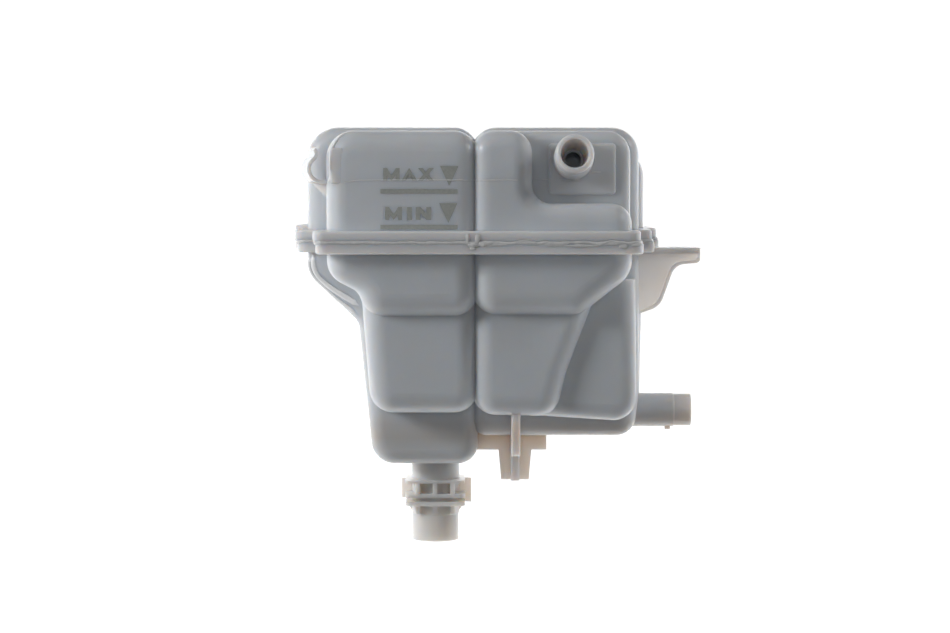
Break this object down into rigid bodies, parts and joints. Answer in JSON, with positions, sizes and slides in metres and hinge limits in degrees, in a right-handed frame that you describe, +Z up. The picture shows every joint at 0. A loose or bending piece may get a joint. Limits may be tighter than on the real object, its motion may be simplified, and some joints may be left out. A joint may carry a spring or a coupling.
{
  "type": "coolant expansion tank",
  "caption": "Welded translucent plastic coolant tank with baffled chambers, vent spout, outlet spigot, side stub, bracket and screw pressure cap.",
  "frame": {"origin": "centre of the outlet spigot's mouth, at the lowest point of the tank", "axes": "+Z up, opposite to the way the outlet hose leaves; -Y towards the side with the level marks; +X towards the bracket and side stub"},
  "size_m": [0.2193, 0.1576, 0.2226],
  "materials": {
    "tank_plastic": "natural translucent polypropylene, satin",
    "cap_plastic": "black glass-filled plastic, satin",
    "valve_plastic": "natural acetal",
    "seal_rubber": "black rubber",
    "spring_steel": "drawn stainless wire"
  },
  "bodies": {
    "tank": {"upper_shell": "tank_plastic", "lower_shell": "tank_plastic"},
    "valve_unit": {"valve_body": "valve_plastic", "neck_seal_ring": "seal_rubber", "spring_retainer": "valve_plastic", "pressure_spring": "spring_steel"},
    "cap": {"cap_shell": "cap_plastic"},
    "pressure_valve": {"pressure_plate": "valve_plastic", "plate_washer": "seal_rubber", "vacuum_spring": "spring_steel"},
    "vacuum_valve": {"vacuum_valve": "valve_plastic"}
  },
  "joints": [
    {"name": "cap_lift", "type": "slide", "parent": "tank", "child": "valve_unit", "axis": [0, 0, 1], "range_m": [0, 0.008]},
    {"name": "cap_turn", "type": "hinge", "parent": "valve_unit", "child": "cap", "pos_m": [-0.024, 0.0505, 0.21], "axis": [0, 0, 1], "range_deg": [0, 720]},
    {"name": "pressure_lift", "type": "slide", "parent": "valve_unit", "child": "pressure_valve", "axis": [0, 0, 1], "range_m": [0, 0.0015], "stiffness_N_per_m": 4000, "springref_m": -0.006, "deforming": ["pressure_spring"]},
    {"name": "vacuum_open", "type": "slide", "parent": "pressure_valve", "child": "vacuum_valve", "axis": [0, 0, -1], "range_m": [0, 0.0012], "stiffness_N_per_m": 80, "springref_m": -0.002, "deforming": ["vacuum_spring"]}
  ],
  "couplings": [
    {"joint": "cap_lift", "follows": "cap_turn", "m_per_rad": 0.0006366}
  ]
}
